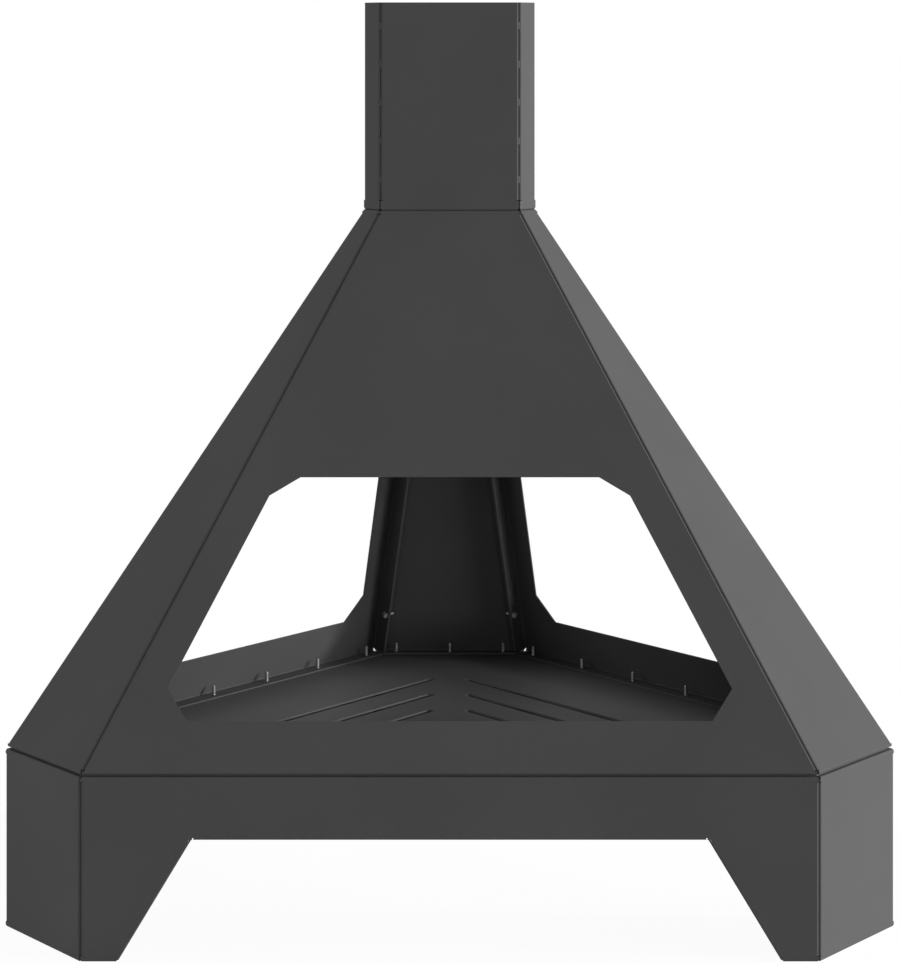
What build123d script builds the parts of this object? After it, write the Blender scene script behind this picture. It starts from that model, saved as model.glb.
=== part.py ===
"""Hooded garden fireplace folded from sheet steel and bolted together.

A six-sided skirt with three arched long walls carries a flat slotted hearth plate.
A tapering hood with three windows stands on the plate and ends in a short chimney.
Lengths are in millimetres, Z points up and the front long wall faces -Y.
The origin lies on the ground under the middle of the bounding box.
"""
import math
import os
from dataclasses import dataclass

from build123d import *

# Plan of the skirt and the foot of the hood, over the outer faces
long_side = 1111.5
short_side = 276.0

# Plan of the chimney and the head of the hood, over the outer faces
flue_long_side = 224.0
flue_short_side = 53.5

# Heights of the stacked stages
skirt_height = 277.0
hearth_thickness = 3.0
hood_height = 830.5
chimney_height = 332.5

# Folded sheet
sheet = 2.0
inner_bend = 1.0
seam_gap = 0.2
edge_gap = 0.1
cut_overrun = 4.0
join_tolerance = 0.001

# Reliefs, which keep the end of one flange clear of the next, and the slots beside them
skirt_seam_relief = 8.5
hood_seam_relief = 6.5
chimney_seam_relief = 16.5
level_relief = 2.0
relief_slot = 1.2
opening_relief = 2.2
opening_slot = 1.4

# Flange widths, from the sharp outer edge to the free edge
seam_flange = 40.0
hearth_flange = 37.0
flue_flange_long = 25.0
flue_flange_short = 18.0
chimney_seam_flange = 25.0
arch_flange = 22.0
leg_flange = 16.0
foot_flange = 22.0

# Arch in each long skirt wall
foot_width = 57.3
arch_height = 182.5
arch_lean = 110.5

# Window in each long hood wall, heights above the hearth plate
window_sill_height = 75.0
window_lower_corner_height = 120.5
window_upper_corner_height = 398.5
window_head_height = 425.5
window_side_margin = 63.8
window_sill_corner_run = 31.0
window_head_corner_run = 47.5

# Hearth plate and its air slots
hearth_inset = 8.0
slot_rows = 3
slot_first_distance = 72.0
slot_pitch = 79.0
slot_width = 16.0
slot_land = 58.0

# Short weld beads in the grooves of the welded chimney seams
weld_length = 11.0
weld_pitch = 61.5
weld_count = 5
weld_first_depth = 37.0
weld_recess = 0.5
weld_crown = 0.3
weld_root = 1.0

# Screws, washers and the tapped collars that hold them
screw_diameter = 6.0
screw_hex = 10.0
screw_head_height = 4.0
screw_point_chamfer = 0.8
hearth_screw_length = 25.0
seam_screw_length = 16.0
washer_diameter = 12.0
washer_bore = 6.4
washer_thickness = 1.6
screw_clearance = 0.6
thread_clearance = 0.1
collar_wall = 1.3
collar_height = 2.0
collar_end_gap = 0.5

# Places of the screws
hearth_screw_inset = 22.0
long_hearth_screw_count = 7
short_hearth_screw_count = 3
long_flue_screw_count = 2
hearth_screw_margin_long = 60.7
hearth_screw_margin_short = 42.0
seam_screw_inset = 31.0
chimney_seam_screw_inset = 15.0
hood_seam_screw_shares = (0.115, 0.5, 0.9)
skirt_seam_screw_shares = (0.2, 0.6)
chimney_seam_screw_shares = (0.2, 0.5, 0.8)
flue_screw_inset_long = 14.0
flue_screw_inset_short = 10.0
flue_screw_margin = 50.0

# Directions that the walls face, counted from +X, and the turn from one wall to the next
LONG_WALL_ANGLES = {"front": 270, "rear_right": 30, "rear_left": 150}
CORNER_WALL_ANGLES = {"corner_left": 210, "corner_right": 330, "corner_back": 90}
CORNER_ANGLE = 60
UP = Vector(0, 0, 1)

# Levels worked out from the heights
hearth_bottom = skirt_height
hood_foot = skirt_height + hearth_thickness
flue_level = hood_foot + hood_height
chimney_top = flue_level + chimney_height
outer_bend = inner_bend + sheet
collar_bore = screw_diameter + thread_clearance
collar_diameter = collar_bore + 2 * collar_wall


def wall_distances(long_edge, short_edge):
    """Distances from the middle axis to the long walls and to the short ones."""
    slope = math.tan(math.radians(CORNER_ANGLE))
    to_long = (long_edge + 2 * short_edge) / (2 * slope)
    to_short = (short_edge + 2 * long_edge) / (2 * slope)
    return to_long, to_short


base_long_distance, base_short_distance = wall_distances(long_side, short_side)
flue_long_distance, flue_short_distance = wall_distances(flue_long_side, flue_short_side)
middle_shift = Vector(0, (base_long_distance - base_short_distance) / 2, 0)


@dataclass
class Flat:
    """A plane by its outward unit normal and its distance from the origin."""

    normal: Vector
    distance: float

    def moved(self, outwards):
        return Flat(self.normal, self.distance + outwards)

    def flipped(self):
        return Flat(-self.normal, -self.distance)

    def height_of(self, point):
        return self.normal.dot(point) - self.distance


@dataclass
class Rim:
    """How one edge of a panel ends: left flat, or folded over into a flange.

    fold is the outer plane of the flange, and width its reach from the sharp edge.
    clear is what the flange keeps free of its folded neighbours, measured from their
    planes. slot is the relief cut beside it, and setback how far the plate's own edge
    stays inside the sharp edge.
    """

    fold: Flat = None
    width: float = 0
    clear: float = 0
    slot: float = 0
    setback: float = 0


def heading(angle):
    """Level unit vector that points the way a wall faces."""
    return Vector(math.cos(math.radians(angle)), math.sin(math.radians(angle)), 0)


def across(angle):
    """Level unit vector along a wall, to the right of someone who looks at it."""
    return heading(angle + 90)


def is_long(angle):
    """Whether the wall that faces this way is one of the three long ones."""
    return angle % 360 in LONG_WALL_ANGLES.values()


def home_angle(angle):
    """Direction of the wall of the same kind that stands square to the axes."""
    return LONG_WALL_ANGLES["front"] if is_long(angle) else CORNER_WALL_ANGLES["corner_back"]


def level(height):
    """Level plane whose outward side is up."""
    return Flat(UP, height)


def wall_flat(angle, low_distance, high_distance, low, high):
    """Outer plane of a wall that leans in from its foot to its head."""
    rise = high - low
    run = low_distance - high_distance
    normal = (heading(angle) * rise + UP * run).normalized()
    return Flat(normal, normal.dot(heading(angle) * low_distance + UP * low))


def meet(one, two, three):
    """The point that three planes share."""
    spread = one.normal.dot(two.normal.cross(three.normal))
    total = two.normal.cross(three.normal) * one.distance
    total = total + three.normal.cross(one.normal) * two.distance
    total = total + one.normal.cross(two.normal) * three.distance
    return total * (1 / spread)


def halfway(own, neighbour):
    """Plane through the seam of two walls that splits their corner, facing the neighbour."""
    difference = neighbour.normal - own.normal
    size = difference.length
    return Flat(difference * (1 / size), (neighbour.distance - own.distance) / size)


def prism(points, direction):
    """Solid swept straight from a flat outline."""
    outline = Wire.make_polygon(points, close=True)
    return Solid.extrude(Face(outline), direction)


def keep_side(solid, flat):
    """The part of a solid on the outward side of a plane."""
    cutter = Plane(origin=flat.normal * flat.distance, z_dir=flat.normal)
    return solid.split(cutter, keep=Keep.TOP)


def tangent_length(face, fold):
    """From the sharp edge of a fold to where its bend begins."""
    turn = face.normal.get_angle(fold.normal)
    return outer_bend * math.tan(math.radians(turn / 2))


def mitre(face, fold):
    """How far a plate's edge stays inside a fold plane, so that its inner corner clears it."""
    inside = math.radians(180 - face.normal.get_angle(fold.normal))
    return max(sheet / math.tan(inside), 0) + edge_gap


def flange_strip(start, end, face, rim):
    """Bend and leg of one flange, along the whole edge from start to end.

    Where the plate's edge is set back past the bend, a flat root reaches back to it.
    """
    along = (end - start).normalized()
    section = Plane(origin=start, x_dir=along.cross(face.normal), z_dir=along)
    turn = math.radians(face.normal.get_angle(rim.fold.normal))
    tangent = tangent_length(face, rim.fold)

    def at(reach, depth):
        return section.from_local_coords(Vector(reach, depth, 0))

    def on_bend(radius, angle):
        return at(radius * math.sin(angle) - tangent, outer_bend - radius * math.cos(angle))

    def on_leg(reach, depth):
        return at(
            reach * math.cos(turn) - depth * math.sin(turn),
            reach * math.sin(turn) + depth * math.cos(turn),
        )

    outer_arc = Edge.make_three_point_arc(
        on_bend(outer_bend, 0), on_bend(outer_bend, turn / 2), on_bend(outer_bend, turn)
    )
    inner_arc = Edge.make_three_point_arc(
        on_bend(inner_bend, turn), on_bend(inner_bend, turn / 2), on_bend(inner_bend, 0)
    )
    stations = [on_bend(outer_bend, turn)]
    if rim.width > tangent:
        stations += [on_leg(rim.width, 0), on_leg(rim.width, sheet)]
    stations += [on_bend(inner_bend, turn)]
    legs = [Edge.make_line(a, b) for a, b in zip(stations, stations[1:])]
    root = [on_bend(inner_bend, 0), on_bend(outer_bend, 0)]
    if rim.setback > tangent:
        root[1:1] = [at(-rim.setback, sheet), at(-rim.setback, 0)]
    closing = [Edge.make_line(a, b) for a, b in zip(root, root[1:])]
    outline = Wire([outer_arc, *legs, inner_arc, *closing])
    return Solid.extrude(Face(outline), end - start)


def panel(face, corners, rims):
    """A folded panel of sheet: its flat, relief slots, and a flange on each folded edge.

    The corners run anticlockwise, seen from outside, and rims[i] belongs to the edge
    from corner i to the next one.
    """
    count = len(corners)
    edges = []
    for i, rim in enumerate(rims):
        start = corners[i]
        end = corners[(i + 1) % count]
        along = (end - start).normalized()
        outward = along.cross(face.normal)
        edge_flat = Flat(outward, outward.dot(start))
        boundary = rim.fold or edge_flat
        edges.append((start, end, along, outward, edge_flat, boundary))
    outline = [
        meet(face, edges[i - 1][4].moved(-rims[i - 1].setback), edges[i][4].moved(-rims[i].setback))
        for i in range(count)
    ]
    plate = prism(outline, face.normal * -sheet)
    strips = []
    for i, rim in enumerate(rims):
        if not rim.width:
            continue
        start, end, along, outward, edge_flat, boundary = edges[i]
        middle = (start + end) * 0.5
        tangent = tangent_length(face, rim.fold)
        strip = flange_strip(start, end, face, rim)
        stops = []
        slots = []
        for other in (i - 1, (i + 1) % count):
            inner_side = edges[other][5]
            if inner_side.height_of(middle) < 0:
                inner_side = inner_side.flipped()
            folded = rims[other].width > 0
            limit = inner_side.moved(rim.clear if folded else 0)
            strip = keep_side(strip, limit)
            slope = limit.normal.dot(along)
            reaches = (0, max(tangent, rim.setback))
            stops.append([-limit.height_of(start - outward * back) / slope for back in reaches])
            slots.append(rim.slot if folded else cut_overrun)
        window_start = min(stops[0]) - slots[0]
        window_end = max(stops[1]) + slots[1]
        corner = start + along * window_start - outward * tangent + face.normal * sheet
        plate -= Solid.make_box(
            tangent + cut_overrun,
            3 * sheet,
            window_end - window_start,
            Plane(origin=corner, x_dir=outward, z_dir=along),
        )
        strips.append(strip)
    return plate.fuse(*strips, tol=join_tolerance)


def drill(body, points, direction, diameter):
    """Cuts a hole through one flange at each point of its outer face."""
    reach = sheet + seam_gap + collar_height + cut_overrun
    for point in points:
        cutter = Plane(origin=point - direction * reach, z_dir=direction)
        body -= Solid.make_cylinder(diameter / 2, 2 * reach, cutter)
    return body


def tap(body, points, inwards, drawn, height):
    """Draws a collar of this height around each point of a flange's outer face, and bores it.

    inwards points from the outer face into the sheet, and drawn is the way the collar goes.
    """
    for point in points:
        seat = Plane(origin=point + inwards * (sheet / 2), z_dir=drawn)
        body += Solid.make_cylinder(collar_diameter / 2, sheet / 2 + height, seat)
    return drill(body, points, inwards, collar_bore)


def spread(count, span):
    """Evenly spaced offsets over a span, with its middle at zero."""
    return [span * (i / (count - 1) - 0.5) for i in range(count)]


def hearth_screw_points(angle, height):
    """Screw places along one side of the hearth, at the given height."""
    if is_long(angle):
        distance = base_long_distance - hearth_screw_inset
        offsets = spread(long_hearth_screw_count, long_side - 2 * hearth_screw_margin_long)
    else:
        distance = base_short_distance - hearth_screw_inset
        offsets = spread(short_hearth_screw_count, short_side - 2 * hearth_screw_margin_short)
    return [heading(angle) * distance + across(angle) * s + UP * height for s in offsets]


def flue_screw_points(angle):
    """Screw places along one side of the joint between hood and chimney."""
    if is_long(angle):
        distance = flue_long_distance - flue_screw_inset_long
        offsets = spread(long_flue_screw_count, flue_long_side - 2 * flue_screw_margin)
    else:
        distance = flue_short_distance - flue_screw_inset_short
        offsets = [0]
    return [heading(angle) * distance + across(angle) * s + UP * flue_level for s in offsets]


def skirt_face(angle):
    """Outer plane of an upright skirt wall."""
    distance = base_long_distance if is_long(angle) else base_short_distance
    return wall_flat(angle, distance, distance, 0, skirt_height)


def hood_face(angle):
    """Outer plane of a leaning hood wall."""
    if is_long(angle):
        return wall_flat(angle, base_long_distance, flue_long_distance, hood_foot, flue_level)
    return wall_flat(angle, base_short_distance, flue_short_distance, hood_foot, flue_level)


def chimney_face(angle):
    """Outer plane of an upright chimney wall."""
    distance = flue_long_distance if is_long(angle) else flue_short_distance
    return wall_flat(angle, distance, distance, flue_level, chimney_top)


def seam_screw_places(face_of, angle, side, low, high, shares, inset):
    """Screw places on the seam at one side of a wall, and the direction to its neighbour."""
    own = face_of(angle)
    neighbour = face_of(angle + side * CORNER_ANGLE)
    seam = halfway(own, neighbour)
    foot = meet(own, seam, level(low))
    head = meet(own, seam, level(high))
    inwards = seam.normal.cross(head - foot).normalized()
    if inwards.dot(heading(angle)) > 0:
        inwards = -inwards
    return [foot + (head - foot) * share + inwards * inset for share in shares], seam.normal


def seam_rim(face_of, angle, side, width, relief):
    """Flange in the plane that splits the corner beside a wall."""
    fold = halfway(face_of(angle), face_of(angle + side * CORNER_ANGLE)).moved(-seam_gap / 2)
    return Rim(fold, width, relief, relief_slot, mitre(face_of(angle), fold))


def level_rim(face, fold, width):
    """Level flange at the foot or the head of a wall."""
    return Rim(fold, width, level_relief, relief_slot, mitre(face, fold))


def cut_edge_rim(face, start, end, width):
    """Stiffening flange, square to the wall, along an edge inside its outline."""
    outward = (end - start).normalized().cross(face.normal)
    fold = Flat(outward, outward.dot(start))
    return Rim(fold, width, opening_relief, opening_slot, mitre(face, fold))


def drill_seams(body, face_of, angle, low, high, shares, inset, sides=(-1, 1)):
    """Seam holes of one wall: tapped collars on a short wall, plain holes on a long one."""
    for side in sides:
        points, direction = seam_screw_places(face_of, angle, side, low, high, shares, inset)
        if is_long(angle):
            body = drill(body, points, direction, screw_diameter + screw_clearance)
        else:
            body = tap(body, points, -direction, -direction, collar_height)
    return body


def skirt_wall(angle):
    """One skirt wall with its seam, hearth and foot flanges, arched where it is long."""
    face = skirt_face(angle)
    left = seam_rim(skirt_face, angle, -1, seam_flange, skirt_seam_relief)
    right = seam_rim(skirt_face, angle, 1, seam_flange, skirt_seam_relief)
    ground = level(0).flipped()
    ceiling = level(skirt_height)
    foot = level_rim(face, ground, foot_flange)
    top = level_rim(face, ceiling, hearth_flange)
    low_left = meet(face, left.fold, ground)
    low_right = meet(face, right.fold, ground)
    high_left = meet(face, left.fold, ceiling)
    high_right = meet(face, right.fold, ceiling)
    if is_long(angle):
        half_feet = long_side / 2 - foot_width
        half_arch = half_feet - arch_lean
        plan = heading(angle) * base_long_distance
        arch = [
            plan - across(angle) * half_feet,
            plan - across(angle) * half_arch + UP * arch_height,
            plan + across(angle) * half_arch + UP * arch_height,
            plan + across(angle) * half_feet,
        ]
        corners = [low_left, *arch, low_right, high_right, high_left]
        lean_left = cut_edge_rim(face, arch[0], arch[1], leg_flange)
        crown = cut_edge_rim(face, arch[1], arch[2], arch_flange)
        lean_right = cut_edge_rim(face, arch[2], arch[3], leg_flange)
        rims = [foot, lean_left, crown, lean_right, foot, right, top, left]
    else:
        corners = [low_left, low_right, high_right, high_left]
        rims = [foot, right, top, left]
    body = panel(face, corners, rims)
    hole = screw_diameter + screw_clearance
    body = drill(body, hearth_screw_points(angle, skirt_height), UP, hole)
    shares = skirt_seam_screw_shares
    return drill_seams(body, skirt_face, angle, 0, skirt_height, shares, seam_screw_inset)


def window_cutter(angle):
    """Prism through the eight-sided window of a long hood wall."""
    side_run = (long_side - flue_long_side) / 2 / hood_height
    half_low = long_side / 2 - window_side_margin - window_lower_corner_height * side_run
    half_high = long_side / 2 - window_side_margin - window_upper_corner_height * side_run
    right_half = [
        (half_low - window_sill_corner_run, window_sill_height),
        (half_low, window_lower_corner_height),
        (half_high, window_upper_corner_height),
        (half_high - window_head_corner_run, window_head_height),
    ]
    left_half = [(-width, height) for width, height in reversed(right_half)]
    face = hood_face(angle)
    outside = face.moved(cut_overrun)
    points = []
    for width, height in right_half + left_half:
        sideways = Flat(across(angle), width)
        on_face = meet(face, sideways, level(hood_foot + height))
        points.append(on_face + face.normal * (outside.distance - face.distance))
    return prism(points, face.normal * -(sheet + 2 * cut_overrun))


def hood_wall(angle):
    """One hood wall with its seam, hearth and flue flanges, windowed where it is long."""
    face = hood_face(angle)
    left = seam_rim(hood_face, angle, -1, seam_flange, hood_seam_relief)
    right = seam_rim(hood_face, angle, 1, seam_flange, hood_seam_relief)
    floor = level(hood_foot).flipped()
    ceiling = level(flue_level)
    corners = [
        meet(face, left.fold, floor),
        meet(face, right.fold, floor),
        meet(face, right.fold, ceiling),
        meet(face, left.fold, ceiling),
    ]
    flue_flange = flue_flange_long if is_long(angle) else flue_flange_short
    foot = level_rim(face, floor, hearth_flange)
    head = level_rim(face, ceiling, flue_flange)
    rims = [foot, right, head, left]
    body = panel(face, corners, rims)
    if is_long(angle):
        body -= window_cutter(angle)
    drawn_height = hearth_thickness - collar_end_gap
    body = tap(body, hearth_screw_points(angle, hood_foot), UP, -UP, drawn_height)
    body = drill(body, flue_screw_points(angle), UP, screw_diameter + screw_clearance)
    shares = hood_seam_screw_shares
    return drill_seams(body, hood_face, angle, hood_foot, flue_level, shares, seam_screw_inset)


def chimney_wall(angle, screwed_sides):
    """One chimney wall with its flue flange, its seam flanges and an open upper edge."""
    home = home_angle(angle)
    face = chimney_face(home)
    left = seam_rim(chimney_face, home, -1, chimney_seam_flange, chimney_seam_relief)
    right = seam_rim(chimney_face, home, 1, chimney_seam_flange, chimney_seam_relief)
    floor = level(flue_level).flipped()
    ceiling = level(chimney_top)
    corners = [
        meet(face, left.fold, floor),
        meet(face, right.fold, floor),
        meet(face, right.fold, ceiling),
        meet(face, left.fold, ceiling),
    ]
    flue_flange = flue_flange_long if is_long(home) else flue_flange_short
    foot = level_rim(face, floor, flue_flange)
    body = panel(face, corners, [foot, right, Rim(), left])
    body = tap(body, flue_screw_points(home), UP, UP, collar_height)
    shares = chimney_seam_screw_shares
    inset = chimney_seam_screw_inset
    body = drill_seams(
        body, chimney_face, home, flue_level, chimney_top, shares, inset, screwed_sides
    )
    return body.rotate(Axis.Z, angle - home)


def weld_beads(angle, side):
    """Short crowned beads that fill the groove between two chimney walls here and there."""
    own = chimney_face(angle)
    neighbour = chimney_face(angle + side * CORNER_ANGLE)
    corner = meet(own, neighbour, level(0))
    outward = (own.normal + neighbour.normal).normalized()
    groove_depth = tangent_length(own, halfway(own, neighbour))
    brow_depth = groove_depth - outer_bend + weld_recess
    beads = []
    for i in range(weld_count):
        bottom = chimney_top - weld_first_depth - i * weld_pitch - weld_length / 2
        section = Plane(origin=corner + UP * bottom, x_dir=outward, z_dir=UP)
        left, right, deep_right, deep_left, crown = [
            section.from_local_coords(Vector(-depth, sideways, 0))
            for depth, sideways in (
                (brow_depth, -sheet),
                (brow_depth, sheet),
                (groove_depth + weld_root, sheet),
                (groove_depth + weld_root, -sheet),
                (brow_depth - weld_crown, 0),
            )
        ]
        outline = Wire(
            [
                Edge.make_three_point_arc(left, crown, right),
                Edge.make_line(right, deep_right),
                Edge.make_line(deep_right, deep_left),
                Edge.make_line(deep_left, left),
            ]
        )
        beads.append(Solid.extrude(Face(outline), UP * weld_length))
    return beads


def chimney_shell(middle_angle):
    """Half of the chimney: a middle wall with a wall welded on at each side."""
    middle = chimney_wall(middle_angle, ())
    left = chimney_wall(middle_angle - CORNER_ANGLE, (-1,))
    right = chimney_wall(middle_angle + CORNER_ANGLE, (1,))
    beads = weld_beads(middle_angle, -1) + weld_beads(middle_angle, 1)
    return middle.fuse(left, right, *beads)


def hearth_plate():
    """Flat six-sided plate with air slots in three nests, one towards each long wall."""
    walls = []
    for angle in sorted([*LONG_WALL_ANGLES.values(), *CORNER_WALL_ANGLES.values()]):
        walls.append(skirt_face(angle).moved(-hearth_inset))
    bottom = level(hearth_bottom)
    outline = [meet(walls[i - 1], walls[i], bottom) for i in range(len(walls))]
    plate = prism(outline, UP * hearth_thickness)
    slope = math.tan(math.radians(CORNER_ANGLE))
    for angle in LONG_WALL_ANGLES.values():
        for row in range(slot_rows):
            distance = slot_first_distance + row * slot_pitch
            length = 2 * (slope * distance - slot_land)
            centre = heading(angle) * distance + UP * (hearth_bottom - cut_overrun)
            seat = Plane(origin=centre, x_dir=across(angle), z_dir=UP)
            slot = SlotOverall(length, slot_width)
            plate -= extrude(seat * slot, hearth_thickness + 2 * cut_overrun)
    hole = collar_diameter + screw_clearance
    reach = hearth_thickness + 2 * cut_overrun
    for angle in [*LONG_WALL_ANGLES.values(), *CORNER_WALL_ANGLES.values()]:
        for point in hearth_screw_points(angle, hearth_bottom - cut_overrun):
            plate -= Solid.make_cylinder(hole / 2, reach, Plane(origin=point, z_dir=UP))
    return plate


def screw(length):
    """Hexagon screw along +Z with the underside of its head at zero."""
    shank = Solid.make_cylinder(screw_diameter / 2, length)
    point_edge = shank.edges().filter_by(GeomType.CIRCLE).sort_by(Axis.Z)[-1]
    shank = shank.chamfer(screw_point_chamfer, None, [point_edge])
    hexagon = RegularPolygon(screw_hex / 2, 6, major_radius=False)
    head = extrude(Plane.XY.offset(-screw_head_height) * hexagon, screw_head_height)
    return head + shank


def washer():
    """Plain washer on the XY plane."""
    ring = Solid.make_cylinder(washer_diameter / 2, washer_thickness)
    return ring - Solid.make_cylinder(washer_bore / 2, washer_thickness)


def fasteners(places, length):
    """Screws with washers under their heads, one pair for each (seat, direction)."""
    screws = []
    washers = []
    one_screw = screw(length)
    one_washer = washer()
    for seat, direction in places:
        washer_plane = Plane(origin=seat - direction * washer_thickness, z_dir=direction)
        screws.append(washer_plane.location * one_screw)
        washers.append(washer_plane.location * one_washer)
    return Compound(screws), Compound(washers)


def hearth_screw_seats():
    """Undersides of the skirt's hearth flanges, where the upright screws come in."""
    seats = []
    for angle in [*LONG_WALL_ANGLES.values(), *CORNER_WALL_ANGLES.values()]:
        for point in hearth_screw_points(angle, skirt_height - sheet):
            seats.append((point, UP))
    return seats


def flue_screw_seats():
    """Undersides of the hood's flue flanges, where the chimney's screws come in."""
    seats = []
    for angle in [*LONG_WALL_ANGLES.values(), *CORNER_WALL_ANGLES.values()]:
        for point in flue_screw_points(angle):
            seats.append((point - UP * sheet, UP))
    return seats


def seam_screw_seats(face_of, low, high, shares, inset, seams):
    """Inner faces of the long walls' seam flanges, each with the way to the short wall."""
    seats = []
    for angle, side in seams:
        points, direction = seam_screw_places(face_of, angle, side, low, high, shares, inset)
        for point in points:
            seats.append((point - direction * (seam_gap / 2 + sheet), direction))
    return seats


def all_seams():
    """Every seam as the long wall's direction and the side that the seam is on."""
    return [(angle, side) for angle in LONG_WALL_ANGLES.values() for side in (-1, 1)]


def build():
    """All pieces by name."""
    pieces = {}
    for walls, home_name in ((LONG_WALL_ANGLES, "front"), (CORNER_WALL_ANGLES, "corner_back")):
        home = walls[home_name]
        skirt_panel = skirt_wall(home)
        hood_panel = hood_wall(home)
        for name, angle in walls.items():
            pieces[f"skirt_{name}_panel"] = skirt_panel.rotate(Axis.Z, angle - home)
            pieces[f"hood_{name}_panel"] = hood_panel.rotate(Axis.Z, angle - home)
    pieces["hearth_plate"] = hearth_plate()
    pieces["chimney_front_shell"] = chimney_shell(LONG_WALL_ANGLES["front"])
    pieces["chimney_back_shell"] = chimney_shell(CORNER_WALL_ANGLES["corner_back"])
    chimney_seams = [(LONG_WALL_ANGLES["rear_left"], 1), (LONG_WALL_ANGLES["rear_right"], -1)]
    groups = {
        "hearth": (hearth_screw_seats(), hearth_screw_length),
        "flue": (flue_screw_seats(), seam_screw_length),
        "skirt_seam": (
            seam_screw_seats(
                skirt_face, 0, skirt_height, skirt_seam_screw_shares, seam_screw_inset, all_seams()
            ),
            seam_screw_length,
        ),
        "hood_seam": (
            seam_screw_seats(
                hood_face,
                hood_foot,
                flue_level,
                hood_seam_screw_shares,
                seam_screw_inset,
                all_seams(),
            ),
            seam_screw_length,
        ),
        "chimney_seam": (
            seam_screw_seats(
                chimney_face,
                flue_level,
                chimney_top,
                chimney_seam_screw_shares,
                chimney_seam_screw_inset,
                chimney_seams,
            ),
            seam_screw_length,
        ),
    }
    for name, (places, length) in groups.items():
        screws, washers = fasteners(places, length)
        pieces[f"{name}_screws"] = screws
        pieces[f"{name}_washers"] = washers
    return pieces


os.makedirs("parts", exist_ok=True)
for name, piece in build().items():
    placed = Pos(middle_shift) * piece
    export_step(placed, f"parts/{name}.step")
    print(name, "solids", len(placed.solids()), "volume", round(placed.volume))
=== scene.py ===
# %% [markdown]
# This lesson gives a hooded garden fireplace its looks. The fireplace is folded from
# charcoal sheet steel and held together with small zinc-plated screws. Its solids come
# ready made, at their real size, so nothing here moves or resizes them. What is left to
# do is the camera, the light, the paint, and the fine shape of the screws and washers.

# %% Load the solids
import math

import bpy
import numpy as np
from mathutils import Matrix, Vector


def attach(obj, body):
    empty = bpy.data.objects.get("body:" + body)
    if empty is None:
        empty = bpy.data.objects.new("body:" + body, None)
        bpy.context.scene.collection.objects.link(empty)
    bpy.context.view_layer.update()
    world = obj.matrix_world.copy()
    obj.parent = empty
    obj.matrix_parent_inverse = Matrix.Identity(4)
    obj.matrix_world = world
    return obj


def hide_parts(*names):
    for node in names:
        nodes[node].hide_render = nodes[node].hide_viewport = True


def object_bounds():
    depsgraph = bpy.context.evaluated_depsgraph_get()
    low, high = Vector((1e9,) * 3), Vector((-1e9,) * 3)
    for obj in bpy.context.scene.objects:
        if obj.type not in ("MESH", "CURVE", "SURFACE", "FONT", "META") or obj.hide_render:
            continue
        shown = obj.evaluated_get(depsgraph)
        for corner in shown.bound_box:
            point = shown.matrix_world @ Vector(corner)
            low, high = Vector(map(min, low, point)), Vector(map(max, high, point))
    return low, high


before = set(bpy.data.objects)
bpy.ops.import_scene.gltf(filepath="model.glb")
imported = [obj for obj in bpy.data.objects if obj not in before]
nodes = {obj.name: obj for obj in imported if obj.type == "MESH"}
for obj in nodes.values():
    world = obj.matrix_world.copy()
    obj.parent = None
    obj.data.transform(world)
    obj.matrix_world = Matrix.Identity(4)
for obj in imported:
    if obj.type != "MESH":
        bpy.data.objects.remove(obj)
cad_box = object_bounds()
print("solids:", len(nodes), "box:", [[round(v, 4) for v in corner] for corner in cad_box])

# %% [markdown]
# The camera stands level, because all upright edges of the photograph are parallel. A
# level camera sees its horizon in the middle of the picture, and here the horizon lies
# near the top, so the lens is shifted down instead of tilted. The distance was solved
# from how much smaller the rear walls look than the front one.

# %% Camera
PHOTO_WIDTH = 900
PHOTO_HEIGHT = 964
HORIZON_ROW = 41.5
MIDDLE_COLUMN = 449.75
FRONT_PIXEL = 0.0015
CAMERA_DISTANCE = 5.890
CAMERA_HEIGHT = 1.3805
SENSOR = 36.0
LEVEL = math.radians(90)

front_y = cad_box[0][1]
lens_data = bpy.data.cameras.new("photo_camera")
lens_data.sensor_fit = "HORIZONTAL"
lens_data.sensor_width = SENSOR
lens_data.lens = SENSOR * CAMERA_DISTANCE / (PHOTO_WIDTH * FRONT_PIXEL)
lens_data.shift_x = (PHOTO_WIDTH / 2 - MIDDLE_COLUMN) / PHOTO_WIDTH
lens_data.shift_y = (HORIZON_ROW - PHOTO_HEIGHT / 2) / PHOTO_WIDTH
camera = bpy.data.objects.new("photo_camera", lens_data)
camera.location = (0, front_y - CAMERA_DISTANCE, CAMERA_HEIGHT)
camera.rotation_euler = (LEVEL, 0, 0)
bpy.context.collection.objects.link(camera)
bpy.context.scene.camera = camera
bpy.context.scene.view_settings.view_transform = "Standard"
print("lens", round(lens_data.lens, 1), "mm, shift down", round(-lens_data.shift_y, 3))

# %% [markdown]
# Every material and every Geometry Nodes tree below is wired by a script. Three small
# helpers keep that readable: one adds a node, one joins a value or a socket to an
# input, and one makes a Math node and gives back its result.

# %% Node helpers
def add_node(tree, kind, **settings):
    """A new node of this kind, with its plain settings filled in."""
    node = tree.nodes.new(kind)
    for name, value in settings.items():
        setattr(node, name, value)
    return node


def feed(tree, socket, value):
    """Puts a number, colour or vector on an input, or links another node's output."""
    if isinstance(value, bpy.types.NodeSocket):
        tree.links.new(value, socket)
    else:
        socket.default_value = value


def calc(tree, operation, *values):
    """The result of a Math node on one, two or three values."""
    node = add_node(tree, "ShaderNodeMath", operation=operation)
    for socket, value in zip(node.inputs, values):
        feed(tree, socket, value)
    return node.outputs[0]


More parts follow.
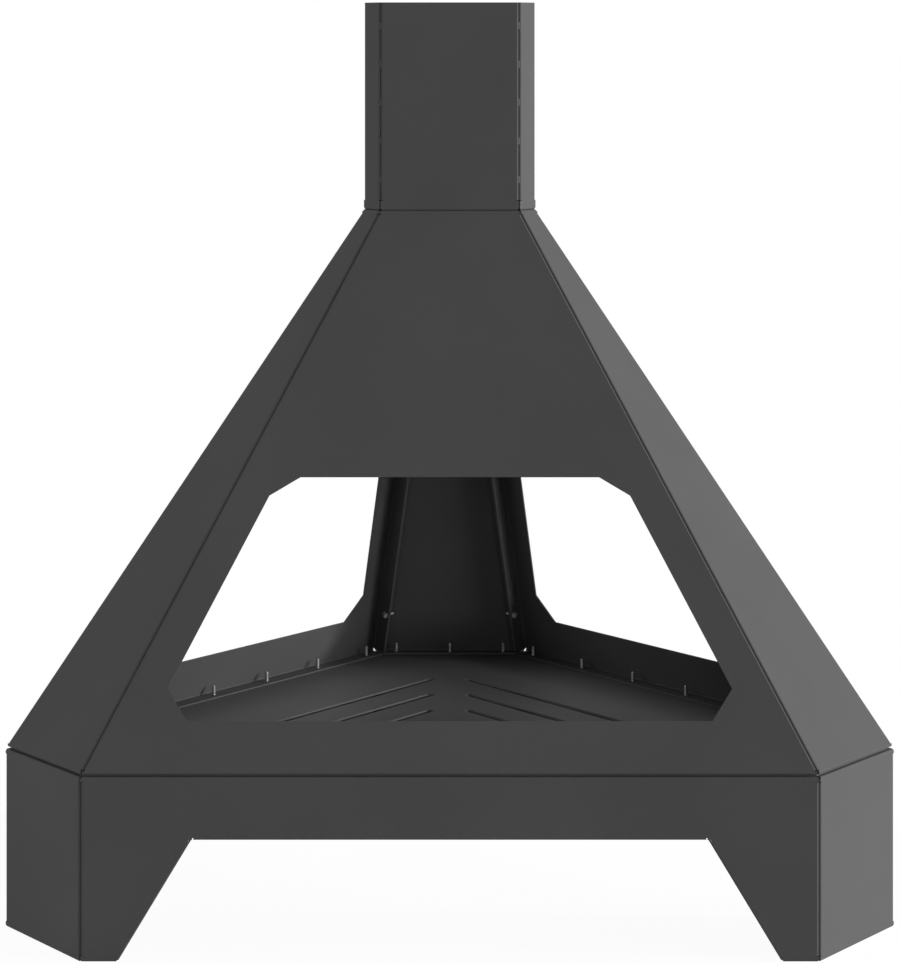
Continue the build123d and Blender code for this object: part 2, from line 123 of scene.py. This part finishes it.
# %% [markdown]
# The light is that of a plain studio. The short walls at the right are about three times
# as bright as the front, and the ones at the left are about as dark as the front, so
# the main light comes from the right and low. It is small enough for the screws to
# throw a crisp shadow on the wall behind them. A higher one lights the hearth. A broad
# one from the right of the camera and one from the rear soften the shadow that the
# window's edge throws on the inner walls. A level one behind the camera reaches the
# rear wall, and a broad one lifts the left. All are suns, which light the whole floor
# alike, and a sun's angle sets how soft its shadows are.

# %% Lamps
def add_sun(name, azimuth, elevation, strength, angle):
    """Soft lamp that shines from a compass direction, counted from +X, and a height."""
    lamp = bpy.data.lights.new(name, "SUN")
    lamp.energy = strength
    lamp.angle = math.radians(angle)
    source = bpy.data.objects.new(name, lamp)
    flat = math.cos(math.radians(elevation))
    towards = Vector((
        flat * math.cos(math.radians(azimuth)),
        flat * math.sin(math.radians(azimuth)),
        math.sin(math.radians(elevation)),
    ))
    source.rotation_euler = towards.to_track_quat("Z", "Y").to_euler()
    bpy.context.collection.objects.link(source)
    return source


LAMPS = {
    "key_lamp": {"azimuth": 2, "elevation": 12, "strength": 2.7, "angle": 8},
    "high_key_lamp": {"azimuth": -15, "elevation": 25, "strength": 0.56, "angle": 8},
    "right_front_lamp": {"azimuth": -32, "elevation": 8, "strength": 1.42, "angle": 30},
    "rear_right_lamp": {"azimuth": 22, "elevation": 10, "strength": 0.55, "angle": 20},
    "camera_lamp": {"azimuth": -90, "elevation": 3, "strength": 0.67, "angle": 25},
    "left_lamp": {"azimuth": 180, "elevation": 24, "strength": 0.72, "angle": 40},
}
for name, settings in LAMPS.items():
    add_sun(name, **settings)
print("lamps:", {name: settings["strength"] for name, settings in LAMPS.items()})

# %% [markdown]
# The background of the photograph is white. The world is white for the camera and for
# gloss, at a strength of 1, so it never clips, and it is dimmer for the light that it
# throws on the object.

# %% World
AMBIENT = 0.06

world = bpy.data.worlds.new("studio")
bpy.context.scene.world = world
world.use_nodes = True
tree = world.node_tree
tree.nodes.clear()
rays = add_node(tree, "ShaderNodeLightPath")
seen = calc(tree, "MAXIMUM", rays.outputs["Is Camera Ray"], rays.outputs["Is Glossy Ray"])
seen = calc(tree, "MAXIMUM", seen, rays.outputs["Is Transmission Ray"])
strength = calc(tree, "MULTIPLY_ADD", seen, 1 - AMBIENT, AMBIENT)
sky = add_node(tree, "ShaderNodeBackground")
feed(tree, sky.inputs["Color"], (1, 1, 1, 1))
feed(tree, sky.inputs["Strength"], strength)
shell = add_node(tree, "ShaderNodeOutputWorld")
tree.links.new(sky.outputs[0], shell.inputs["Surface"])
print("ambient", AMBIENT)

# %% [markdown]
# The floor is pale and matt, and throws much of the light back up under the hood. The
# photograph hardly shows a shadow on it, so the camera and gloss see only a share of
# the lit floor. A glow, which only the camera and gloss see, tops that share up to
# plain white: the sum of what all lamps and the world give an open floor is known, so
# the glow is worked out from it and nothing clips.

# %% Floor
FLOOR_REACH = 150.0
FLOOR_COLOUR = 0.9
FLOOR_LIT_SHARE = 0.10

floor_mesh = bpy.data.meshes.new("studio_floor")
floor_corners = [(-1, -1, 0), (1, -1, 0), (1, 1, 0), (-1, 1, 0)]
floor_mesh.from_pydata([Vector(c) * FLOOR_REACH for c in floor_corners], [], [(0, 1, 2, 3)])
floor = bpy.data.objects.new("studio_floor", floor_mesh)
bpy.context.collection.objects.link(floor)
paint = bpy.data.materials.new("pale_floor")
paint.use_nodes = True
tree = paint.node_tree
tree.nodes.clear()
rays = add_node(tree, "ShaderNodeLightPath")
seen = calc(tree, "MAXIMUM", rays.outputs["Is Camera Ray"], rays.outputs["Is Glossy Ray"])
seen_colour = FLOOR_COLOUR * FLOOR_LIT_SHARE
matt = add_node(tree, "ShaderNodeBsdfDiffuse")
colour = calc(tree, "MULTIPLY_ADD", seen, seen_colour - FLOOR_COLOUR, FLOOR_COLOUR)
feed(tree, matt.inputs["Color"], colour)
sun_light = sum(
    lamp["strength"] * math.sin(math.radians(lamp["elevation"])) for lamp in LAMPS.values()
)
open_floor = seen_colour * (sun_light / math.pi + AMBIENT)
glow = add_node(tree, "ShaderNodeEmission")
feed(tree, glow.inputs["Strength"], calc(tree, "MULTIPLY", seen, 1 - open_floor))
both = add_node(tree, "ShaderNodeAddShader")
tree.links.new(matt.outputs[0], both.inputs[0])
tree.links.new(glow.outputs[0], both.inputs[1])
output = add_node(tree, "ShaderNodeOutputMaterial")
tree.links.new(both.outputs[0], output.inputs["Surface"])
floor.data.materials.append(paint)
print("floor", 2 * FLOOR_REACH, "m wide, glow", round(1 - open_floor, 3))

# %% [markdown]
# The walls carry a heat-proof powder coat: charcoal, with a fine pebbled skin that the
# powder leaves when it melts. Seen from a few steps it is an even matt grey with a soft
# sheen at a slant. So the material is one Principled shader whose colour wanders only
# slightly, with two sizes of grain in its bump and its roughness.

# %% Powder coat
GRAIN_SIZE = 0.0009
PEBBLE_SIZE = 0.0028
CLOUD_SIZE = 0.22
CLOUD_CONTRAST = 0.05
SPECKLE_CONTRAST = 0.1
ROUGHNESS_SPREAD = 0.05
COAT_SHADE = 0.073
COAT_GLOSS = 0.10
NOISE_LOW = 0.3
NOISE_HIGH = 0.7


def noise(tree, place, size, detail):
    """Noise whose bumps are about this size, in metres."""
    node = add_node(tree, "ShaderNodeTexNoise")
    feed(tree, node.inputs["Vector"], place)
    feed(tree, node.inputs["Scale"], 1 / size)
    feed(tree, node.inputs["Detail"], detail)
    return node.outputs["Fac"]


def rescale(tree, value, low, high):
    """Spreads a noise value, which stays near the middle, over a range."""
    node = add_node(tree, "ShaderNodeMapRange")
    feed(tree, node.inputs["Value"], value)
    feed(tree, node.inputs["From Min"], NOISE_LOW)
    feed(tree, node.inputs["From Max"], NOISE_HIGH)
    feed(tree, node.inputs["To Min"], low)
    feed(tree, node.inputs["To Max"], high)
    return node.outputs["Result"]


def grey(shade):
    """Colour with this share of red, green and blue."""
    return shade, shade, shade, 1


def powder_coat(name, roughness, pebble_height):
    """Matt textured coat, with its mean roughness and the height of its pebbles."""
    material = bpy.data.materials.new(name)
    material.use_nodes = True
    tree = material.node_tree
    shader = tree.nodes["Principled BSDF"]
    place = add_node(tree, "ShaderNodeTexCoord").outputs["Object"]
    grain = noise(tree, place, GRAIN_SIZE, detail=2)
    pebbles = noise(tree, place, PEBBLE_SIZE, detail=1)
    clouds = noise(tree, place, CLOUD_SIZE, detail=2)
    mix = add_node(tree, "ShaderNodeMix", data_type="RGBA")
    feed(tree, mix.inputs["Factor"], rescale(tree, clouds, 0, 1))
    feed(tree, mix.inputs["A"], grey(COAT_SHADE * (1 - CLOUD_CONTRAST)))
    feed(tree, mix.inputs["B"], grey(COAT_SHADE * (1 + CLOUD_CONTRAST)))
    speckle = add_node(tree, "ShaderNodeMix", data_type="RGBA", blend_type="MULTIPLY")
    feed(tree, speckle.inputs["Factor"], 1)
    feed(tree, speckle.inputs["A"], mix.outputs["Result"])
    dark, light = 1 - SPECKLE_CONTRAST, 1 + SPECKLE_CONTRAST
    feed(tree, speckle.inputs["B"], rescale(tree, grain, dark, light))
    feed(tree, shader.inputs["Base Color"], speckle.outputs["Result"])
    smooth, rough = roughness - ROUGHNESS_SPREAD, roughness + ROUGHNESS_SPREAD
    feed(tree, shader.inputs["Roughness"], rescale(tree, grain, smooth, rough))
    feed(tree, shader.inputs["Specular IOR Level"], COAT_GLOSS)
    fine = add_node(tree, "ShaderNodeBump")
    feed(tree, fine.inputs["Strength"], 1)
    feed(tree, fine.inputs["Distance"], pebble_height / 2)
    feed(tree, fine.inputs["Height"], grain)
    coarse = add_node(tree, "ShaderNodeBump")
    feed(tree, coarse.inputs["Strength"], 1)
    feed(tree, coarse.inputs["Distance"], pebble_height)
    feed(tree, coarse.inputs["Height"], pebbles)
    feed(tree, coarse.inputs["Normal"], fine.outputs["Normal"])
    feed(tree, shader.inputs["Normal"], coarse.outputs["Normal"])
    return material


wall_coat = powder_coat("charcoal_powder_coat", roughness=0.60, pebble_height=0.00010)
hearth_coat = powder_coat("hearth_powder_coat", roughness=0.65, pebble_height=0.00012)
print("coats:", wall_coat.name, hearth_coat.name)

# %% [markdown]
# The screws and washers are zinc-plated steel. Zinc isn't chrome: a thin clear film
# dulls it, so part of the light scatters as on paint and part is mirrored, and its
# brightness changes from spot to spot.

# %% Zinc plate
ZINC_CLOUD_SIZE = 0.0016
ZINC_PIT_DEPTH = 0.00002
ZINC_DARK = 0.40
ZINC_LIGHT = 0.56
ZINC_SMOOTH = 0.34
ZINC_ROUGH = 0.50
METAL_SHARE = 0.8


def zinc_plate():
    """Slightly cloudy metal under a thin dulling film."""
    material = bpy.data.materials.new("zinc_plate")
    material.use_nodes = True
    tree = material.node_tree
    shader = tree.nodes["Principled BSDF"]
    place = add_node(tree, "ShaderNodeTexCoord").outputs["Object"]
    clouds = noise(tree, place, ZINC_CLOUD_SIZE, detail=3)
    mix = add_node(tree, "ShaderNodeMix", data_type="RGBA")
    feed(tree, mix.inputs["Factor"], rescale(tree, clouds, 0, 1))
    feed(tree, mix.inputs["A"], grey(ZINC_DARK))
    feed(tree, mix.inputs["B"], grey(ZINC_LIGHT))
    feed(tree, shader.inputs["Base Color"], mix.outputs["Result"])
    feed(tree, shader.inputs["Metallic"], METAL_SHARE)
    feed(tree, shader.inputs["Roughness"], rescale(tree, clouds, ZINC_SMOOTH, ZINC_ROUGH))
    bump = add_node(tree, "ShaderNodeBump")
    feed(tree, bump.inputs["Strength"], 1)
    feed(tree, bump.inputs["Distance"], ZINC_PIT_DEPTH)
    feed(tree, bump.inputs["Height"], clouds)
    feed(tree, shader.inputs["Normal"], bump.outputs["Normal"])
    return material


zinc = zinc_plate()
print("metal:", zinc.name)

# %% [markdown]
# The folded walls, the chimney shells and the hearth plate keep their solids as they
# are: their folds, relief cuts, weld beads and slots are all there. They only need the
# coat.

# %% Coat the walls
def coat(solid, material):
    """Gives every slot of a solid one material."""
    if not solid.data.materials:
        solid.data.materials.append(material)
    for slot in range(len(solid.data.materials)):
        solid.data.materials[slot] = material


for name, solid in nodes.items():
    if name == "hearth_plate":
        coat(solid, hearth_coat)
    elif name.endswith(("_panel", "_shell")):
        coat(solid, wall_coat)
    else:
        coat(solid, zinc)
print("coated", len(nodes), "solids")

# %% [markdown]
# The screws of the solids are plain pegs with a sharp-edged head. Real ones have a
# rolled thread, a chamfered point, and a head whose corners are turned off. All screws
# of one size are alike, so a Geometry Nodes tree makes one and puts it on points. The
# points, and the way that each screw faces, are measured on the solids, so no place is
# typed in twice.

# %% Measure the screws and washers
ROUNDING = 6
CORNER_SHARE = 0.9
SHANK_START_SHARE = 0.1
HEXAGON_HALF_ANGLE = math.radians(30)


def separate_pieces(solid):
    """The corner points of each separate piece in a node, one array per piece."""
    mesh = solid.data
    raw = np.empty(len(mesh.vertices) * 3)
    mesh.vertices.foreach_get("co", raw)
    points, index = np.unique(raw.reshape(-1, 3).round(ROUNDING), axis=0, return_inverse=True)
    index = index.reshape(-1)
    owner = np.arange(len(points))
    edges = np.empty(len(mesh.edges) * 2, dtype=np.int64)
    mesh.edges.foreach_get("vertices", edges)
    edges = index[edges.reshape(-1, 2)]
    while True:
        lowest = np.minimum(owner[edges[:, 0]], owner[edges[:, 1]])
        spread = owner.copy()
        np.minimum.at(spread, edges[:, 0], lowest)
        np.minimum.at(spread, edges[:, 1], lowest)
        spread = spread[spread]
        if np.array_equal(spread, owner):
            break
        owner = spread
    return [points[owner == label] for label in np.unique(owner)]


def main_directions(points):
    """Middle of a point cloud and its directions, from the longest to the shortest."""
    middle = (points.min(axis=0) + points.max(axis=0)) / 2
    centred = points - points.mean(axis=0)
    return middle, np.linalg.svd(centred, full_matrices=False)[2]


def measure_screw(points):
    """Where the head meets its washer, the way to the point, and the screw's sizes."""
    along = main_directions(points)[1][0]
    heart = points.mean(axis=0)
    reach = (points - heart) @ along
    away = np.linalg.norm(points - heart - np.outer(reach, along), axis=1)
    corners = away > CORNER_SHARE * away.max()
    if reach[corners].mean() > 0:
        along, reach = -along, -reach
    seat = reach[corners].max()
    shank = reach > seat + SHANK_START_SHARE * (reach.max() - seat)
    return {
        "place": heart + along * seat,
        "axis": along,
        "head_height": seat - reach.min(),
        "head_width": 2 * away.max() * math.cos(HEXAGON_HALF_ANGLE),
        "radius": away[shank].max(),
        "length": reach.max() - seat,
    }


def measure_washer(points):
    """The middle of a washer, the way it faces, and its sizes."""
    middle, directions = main_directions(points)
    axis = directions[2]
    heart = points.mean(axis=0)
    height = (points - heart) @ axis
    away = np.linalg.norm(points - heart - np.outer(height, axis), axis=1)
    return {
        "place": heart,
        "axis": axis,
        "thickness": height.max() - height.min(),
        "outer": away.max(),
        "inner": away.min(),
    }


screws = {}
washers = {}
for name, solid in nodes.items():
    if name.endswith("_screws"):
        screws[name] = [measure_screw(points) for points in separate_pieces(solid)]
    elif name.endswith("_washers"):
        washers[name] = [measure_washer(points) for points in separate_pieces(solid)]
for name, found in {**screws, **washers}.items():
    sizes = {k: round(float(v) * 1000, 2) for k, v in found[0].items() if np.isscalar(v)}
    print(name, len(found), sizes)

# %% [markdown]
# The tree for a screw starts with a flat grid. Its columns go once around the shank, and
# its rows climb the thread: four rows for each turn, two on the crest and two in the
# root, as in the standard metric profile. Because each row also rises by one pitch on
# its way around, the rows join into one endless thread. Near the point the radius is
# held inside a cone, which turns the chamfer, and past the end the rows run in to the
# middle and close it. The head is a second, small grid. Its five rows run from the
# middle of the outer face to that face's rim, over the turned-off corners to the sides,
# down the sides, and back in underneath.

# %% Screw tree
PITCH = 0.001
SIDES = 20
HEAD_SIDES = 24
CREST_SHARE = 0.125
ROOT_START_SHARE = 0.4375
ROOT_END_SHARE = 0.6875
THREAD_DEPTH_SHARE = 0.6134
POINT_SLOPE = 1.0
FACE_SHARE = 0.94
TURNED_OFF_ANGLE = math.radians(30)
ROWS_PER_TURN = 4
SPARE_TURNS = 3
TURNS_BEFORE_START = 2
START_IN_HEAD_SHARE = 0.5
HEAD_ROWS = 5
HALF_ROW = 0.5
ROW_TOLERANCE = 0.25
GRID_HALF_WIDTH = 0.5
WELD_DISTANCE = 0.00001


def new_tree(name, inputs):
    """Empty Geometry Nodes tree with a geometry input, named inputs and one output."""
    tree = bpy.data.node_groups.new(name, "GeometryNodeTree")
    tree.is_modifier = True
    tree.interface.new_socket("Geometry", in_out="INPUT", socket_type="NodeSocketGeometry")
    for label, kind in inputs.items():
        tree.interface.new_socket(label, in_out="INPUT", socket_type=f"NodeSocket{kind}")
    tree.interface.new_socket("Geometry", in_out="OUTPUT", socket_type="NodeSocketGeometry")
    entry = add_node(tree, "NodeGroupInput")
    return tree, entry.outputs


def polar_point(tree, angle, radius, height):
    """Vector at this angle and radius around Z, at this height."""
    point = add_node(tree, "ShaderNodeCombineXYZ")
    feed(tree, point.inputs["X"], calc(tree, "MULTIPLY", radius, calc(tree, "COSINE", angle)))
    feed(tree, point.inputs["Y"], calc(tree, "MULTIPLY", radius, calc(tree, "SINE", angle)))
    feed(tree, point.inputs["Z"], height)
    return point.outputs[0]


def unit_grid(tree, columns, rows):
    """Grid mesh, with each vertex's turn from 0 to 1 and its row from 0 up."""
    grid = add_node(tree, "GeometryNodeMeshGrid")
    feed(tree, grid.inputs["Vertices X"], columns)
    feed(tree, grid.inputs["Vertices Y"], rows)
    place = add_node(tree, "ShaderNodeSeparateXYZ")
    feed(tree, place.inputs[0], add_node(tree, "GeometryNodeInputPosition").outputs[0])
    turn = calc(tree, "ADD", place.outputs["X"], GRID_HALF_WIDTH)
    share = calc(tree, "ADD", place.outputs["Y"], GRID_HALF_WIDTH)
    row = calc(tree, "MULTIPLY", share, calc(tree, "SUBTRACT", rows, 1))
    return grid.outputs["Mesh"], turn, calc(tree, "ROUND", row)


def bent(tree, mesh, position):
    """Moves the grid's vertices to their places and closes its seam."""
    moved = add_node(tree, "GeometryNodeSetPosition")
    feed(tree, moved.inputs["Geometry"], mesh)
    feed(tree, moved.inputs["Position"], position)
    closed = add_node(tree, "GeometryNodeMergeByDistance")
    feed(tree, closed.inputs["Geometry"], moved.outputs[0])
    feed(tree, closed.inputs["Distance"], WELD_DISTANCE)
    return closed.outputs[0]


def is_row(tree, phase, number):
    """One where the phase is this number, and zero elsewhere."""
    return calc(tree, "COMPARE", phase, number, ROW_TOLERANCE)


def thread_mesh(tree, sizes):
    """Shank with its thread, from inside the head to the point."""
    radius, pitch, length = sizes["Radius"], sizes["Pitch"], sizes["Length"]
    depth = calc(tree, "MULTIPLY", pitch, THREAD_DEPTH_SHARE)
    root = calc(tree, "SUBTRACT", radius, depth)
    start = calc(tree, "MULTIPLY", sizes["Head Height"], -START_IN_HEAD_SHARE)
    span = calc(tree, "SUBTRACT", length, start)
    turns = calc(tree, "CEIL", calc(tree, "DIVIDE", span, pitch))
    turns = calc(tree, "ADD", turns, SPARE_TURNS)
    rows = calc(tree, "ADD", calc(tree, "MULTIPLY", turns, ROWS_PER_TURN), 1)
    mesh, turn, row = unit_grid(tree, SIDES + 1, rows)
    whole = calc(tree, "FLOOR", calc(tree, "DIVIDE", row, ROWS_PER_TURN))
    phase = calc(tree, "MODULO", row, ROWS_PER_TURN)
    # In each turn rows 0 and 1 lie on the crest, and rows 2 and 3 in the root
    share = calc(tree, "MULTIPLY", is_row(tree, phase, 1), CREST_SHARE)
    share = calc(tree, "MULTIPLY_ADD", is_row(tree, phase, 2), ROOT_START_SHARE, share)
    share = calc(tree, "MULTIPLY_ADD", is_row(tree, phase, 3), ROOT_END_SHARE, share)
    climbed = calc(tree, "ADD", calc(tree, "ADD", whole, share), turn)
    climbed = calc(tree, "SUBTRACT", climbed, TURNS_BEFORE_START)
    climbed = calc(tree, "MULTIPLY", climbed, pitch)
    climbed = calc(tree, "ADD", climbed, start)
    height = calc(tree, "MINIMUM", calc(tree, "MAXIMUM", climbed, start), length)
    in_root = calc(tree, "GREATER_THAN", phase, 1 + HALF_ROW)
    wide = calc(tree, "MULTIPLY_ADD", in_root, calc(tree, "SUBTRACT", root, radius), radius)
    left = calc(tree, "SUBTRACT", length, height)
    cone = calc(tree, "MULTIPLY_ADD", left, POINT_SLOPE, calc(tree, "SUBTRACT", root, depth))
    wide = calc(tree, "MINIMUM", wide, cone)
    past = calc(tree, "DIVIDE", calc(tree, "SUBTRACT", climbed, length), pitch)
    before = calc(tree, "DIVIDE", calc(tree, "SUBTRACT", start, climbed), pitch)
    outside = calc(tree, "MAXIMUM", calc(tree, "MAXIMUM", past, before), 0)
    closing = calc(tree, "SUBTRACT", 1, calc(tree, "MINIMUM", outside, 1))
    wide = calc(tree, "MULTIPLY", wide, closing)
    angle = calc(tree, "MULTIPLY", turn, math.tau)
    return bent(tree, mesh, polar_point(tree, angle, wide, height))


def head_mesh(tree, sizes):
    """Hexagon head whose outer corners are turned off at 30 degrees."""
    flat = calc(tree, "DIVIDE", sizes["Head Width"], 2)
    mesh, turn, row = unit_grid(tree, HEAD_SIDES + 1, HEAD_ROWS)
    sixth = math.tau / 6
    angle = calc(tree, "MULTIPLY", turn, math.tau)
    beside = calc(tree, "MODULO", calc(tree, "ADD", angle, sixth / 2), sixth)
    beside = calc(tree, "SUBTRACT", beside, sixth / 2)
    hexagon = calc(tree, "DIVIDE", flat, calc(tree, "COSINE", beside))
    face = calc(tree, "MULTIPLY", flat, FACE_SHARE)
    # Row 1 is the round rim of the outer face, and rows 2 and 3 are the ends of the sides
    rim = calc(tree, "MAXIMUM", is_row(tree, row, 2), is_row(tree, row, 3))
    wide = calc(tree, "MULTIPLY", hexagon, rim)
    wide = calc(tree, "MULTIPLY_ADD", face, is_row(tree, row, 1), wide)
    turned = calc(tree, "SUBTRACT", hexagon, face)
    turned = calc(tree, "MULTIPLY", turned, math.tan(TURNED_OFF_ANGLE))
    outer = calc(tree, "LESS_THAN", row, 2 + HALF_ROW)
    low = calc(tree, "MULTIPLY", calc(tree, "MULTIPLY", sizes["Head Height"], -1), outer)
    height = calc(tree, "MULTIPLY_ADD", turned, is_row(tree, row, 2), low)
    return bent(tree, mesh, polar_point(tree, angle, wide, height))


# The Random Value node has several sockets of one name, so these go by their number
FLOAT_MAXIMUM = 3
FLOAT_RESULT = 1


def on_points(tree, entry, meshes):
    """Puts the joined meshes on every point, along its axis and turned at random."""
    joined = add_node(tree, "GeometryNodeJoinGeometry")
    for mesh in meshes:
        tree.links.new(mesh, joined.inputs[0])
    axis = add_node(tree, "GeometryNodeInputNamedAttribute", data_type="FLOAT_VECTOR")
    feed(tree, axis.inputs["Name"], "axis")
    facing = add_node(tree, "FunctionNodeAlignRotationToVector", axis="Z")
    feed(tree, facing.inputs["Vector"], axis.outputs["Attribute"])
    chance = add_node(tree, "FunctionNodeRandomValue", data_type="FLOAT")
    feed(tree, chance.inputs[FLOAT_MAXIMUM], math.tau)
    feed(tree, chance.inputs["Seed"], entry["Seed"])
    spin = add_node(tree, "FunctionNodeAxisAngleToRotation")
    feed(tree, spin.inputs["Axis"], (0, 0, 1))
    feed(tree, spin.inputs["Angle"], chance.outputs[FLOAT_RESULT])
    turned = add_node(tree, "FunctionNodeRotateRotation", rotation_space="LOCAL")
    feed(tree, turned.inputs["Rotation"], facing.outputs[0])
    feed(tree, turned.inputs["Rotate By"], spin.outputs[0])
    placed = add_node(tree, "GeometryNodeInstanceOnPoints")
    feed(tree, placed.inputs["Points"], entry["Geometry"])
    feed(tree, placed.inputs["Instance"], joined.outputs[0])
    feed(tree, placed.inputs["Rotation"], turned.outputs[0])
    real = add_node(tree, "GeometryNodeRealizeInstances")
    feed(tree, real.inputs["Geometry"], placed.outputs[0])
    painted = add_node(tree, "GeometryNodeSetMaterial")
    feed(tree, painted.inputs["Geometry"], real.outputs[0])
    feed(tree, painted.inputs["Material"], entry["Material"])
    leave = add_node(tree, "NodeGroupOutput")
    feed(tree, leave.inputs["Geometry"], painted.outputs[0])


screw_tree, screw_sizes = new_tree("threaded_screws", {
    "Radius": "Float", "Pitch": "Float", "Length": "Float", "Head Width": "Float",
    "Head Height": "Float", "Seed": "Int", "Material": "Material",
})
on_points(screw_tree, screw_sizes, [
    thread_mesh(screw_tree, screw_sizes), head_mesh(screw_tree, screw_sizes)
])
print("screw tree:", len(screw_tree.nodes), "nodes")

# %% [markdown]
# A washer is stamped from strip, so its edges are slightly rounded. A small rectangle
# with filleted corners, swept around a circle, gives exactly that.

# %% Washer tree
WASHER_SIDES = 40
WASHER_EDGE = 0.00025
WASHER_EDGE_STEPS = 2

washer_tree, washer_sizes = new_tree("stamped_washers", {
    "Outer Radius": "Float", "Inner Radius": "Float", "Thickness": "Float",
    "Seed": "Int", "Material": "Material",
})
tree = washer_tree
sum_of_radii = calc(tree, "ADD", washer_sizes["Outer Radius"], washer_sizes["Inner Radius"])
ring_width = calc(tree, "SUBTRACT", washer_sizes["Outer Radius"], washer_sizes["Inner Radius"])
circle = add_node(tree, "GeometryNodeCurvePrimitiveCircle", mode="RADIUS")
feed(tree, circle.inputs["Resolution"], WASHER_SIDES)
feed(tree, circle.inputs["Radius"], calc(tree, "DIVIDE", sum_of_radii, 2))
section = add_node(tree, "GeometryNodeCurvePrimitiveQuadrilateral")
feed(tree, section.inputs["Width"], ring_width)
feed(tree, section.inputs["Height"], washer_sizes["Thickness"])
rounded = add_node(tree, "GeometryNodeFilletCurve", mode="POLY")
feed(tree, rounded.inputs["Curve"], section.outputs[0])
feed(tree, rounded.inputs["Radius"], WASHER_EDGE)
feed(tree, rounded.inputs["Count"], WASHER_EDGE_STEPS)
swept = add_node(tree, "GeometryNodeCurveToMesh")
feed(tree, swept.inputs["Curve"], circle.outputs[0])
feed(tree, swept.inputs["Profile Curve"], rounded.outputs[0])
on_points(tree, washer_sizes, [swept.outputs["Mesh"]])
print("washer tree:", len(washer_tree.nodes), "nodes")

# %% [markdown]
# Each group of screws and of washers gets a mesh of bare points, a modifier with the
# measured sizes, and then becomes a plain mesh. It replaces its plain solid, rides on
# the same body, and is shaded smooth except at real edges.

# %% Make the screws and washers
SHARP_ANGLE = 28
SEED = 7


def set_input(modifier, label, value):
    """Sets a modifier's input by the identifier of the socket with this label."""
    for item in modifier.node_group.interface.items_tree:
        if item.item_type == "SOCKET" and item.in_out == "INPUT" and item.name == label:
            modifier[item.identifier] = value


def grow(name, tree, places, values):
    """Runs a tree on measured places and keeps the result as a plain mesh."""
    seeds = bpy.data.meshes.new(name + "_places")
    seeds.from_pydata([tuple(place["place"]) for place in places], [], [])
    axes = seeds.attributes.new("axis", "FLOAT_VECTOR", "POINT")
    axes.data.foreach_set("vector", np.array([place["axis"] for place in places]).ravel())
    piece = bpy.data.objects.new(name, seeds)
    bpy.context.collection.objects.link(piece)
    modifier = piece.modifiers.new("grow", "NODES")
    modifier.node_group = tree
    for label, value in {**values, "Seed": SEED, "Material": zinc}.items():
        set_input(modifier, label, value)
    evaluated = piece.evaluated_get(bpy.context.evaluated_depsgraph_get())
    mesh = bpy.data.meshes.new_from_object(evaluated)
    piece.modifiers.remove(modifier)
    piece.data = mesh
    if "axis" in mesh.attributes:
        mesh.attributes.remove(mesh.attributes["axis"])
    mesh.shade_smooth()
    mesh.set_sharp_from_angle(angle=math.radians(SHARP_ANGLE))
    return piece


for name, found in screws.items():
    first = found[0]
    piece = grow("threaded_" + name, screw_tree, found, {
        "Radius": float(first["radius"]),
        "Pitch": PITCH,
        "Length": float(first["length"]),
        "Head Width": float(first["head_width"]),
        "Head Height": float(first["head_height"]),
    })
    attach(piece, "root")
    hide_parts(name)
    print(piece.name, len(piece.data.polygons), "faces")

for name, found in washers.items():
    first = found[0]
    piece = grow("stamped_" + name, washer_tree, found, {
        "Outer Radius": float(first["outer"]),
        "Inner Radius": float(first["inner"]),
        "Thickness": float(first["thickness"]),
    })
    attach(piece, "root")
    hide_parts(name)
    print(piece.name, len(piece.data.polygons), "faces")
